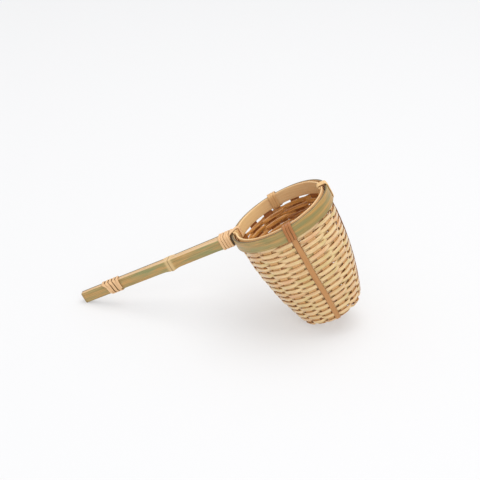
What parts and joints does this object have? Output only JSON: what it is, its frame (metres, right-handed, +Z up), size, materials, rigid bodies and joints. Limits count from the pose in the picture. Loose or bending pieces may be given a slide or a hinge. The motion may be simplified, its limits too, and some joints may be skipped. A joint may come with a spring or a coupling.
{
  "type": "tea strainer",
  "caption": "Deep woven bamboo basket strainer on a bamboo hoop, with the hoop's strip carried on as a straight split handle; holds back tea leaves as tea is poured.",
  "frame": {"origin": "on the table, under the middle of the strainer's box as it lies at rest on its handle tip and the basket's lower edge", "axes": "+Z up from the table, +X along the strainer's length from the handle's tip to the basket, +Y to the far side; the basket's mouth faces up and towards the handle"},
  "size_m": [0.1888, 0.07, 0.0973],
  "materials": {
    "bamboo_skin": "satin, green-grey outer skin of split bamboo with fine lengthwise grain and a pale cut edge",
    "bamboo_hoop": "satin, pale inner face of split bamboo",
    "bamboo_stake": "satin, shaved bamboo strip",
    "bamboo_weft": "satin, thin pale shaved bamboo strip",
    "bamboo_rib": "satin, tan bamboo strip",
    "rattan_rim": "satin, tan-orange split rattan",
    "rattan_handle": "satin, light split rattan"
  },
  "bodies": {
    "root": {"hoop_and_handle": "bamboo_skin", "inner_hoop": "bamboo_hoop", "stake_strip_long_1": "bamboo_stake", "stake_strip_long_2": "bamboo_stake", "stake_strip_long_3": "bamboo_stake", "stake_strip_cross_1": "bamboo_stake", "stake_strip_cross_2": "bamboo_stake", "stake_strip_cross_3": "bamboo_stake", "stake_odd": "bamboo_stake", "weft_length_1": "bamboo_weft", "weft_length_2": "bamboo_weft", "weft_length_3": "bamboo_weft", "weft_length_4": "bamboo_weft", "weft_length_5": "bamboo_weft", "weft_length_6": "bamboo_weft", "weft_length_7": "bamboo_weft", "weft_length_8": "bamboo_weft", "weft_length_9": "bamboo_weft", "weft_length_10": "bamboo_weft", "rib_front_to_back": "bamboo_rib", "rib_side_to_side": "bamboo_rib", "rim_lashing_front": "rattan_rim", "rim_lashing_far": "rattan_rim", "rim_lashing_back": "rattan_rim", "neck_lashing": "rattan_handle", "tip_lashing": "rattan_handle"}
  },
  "joints": []
}
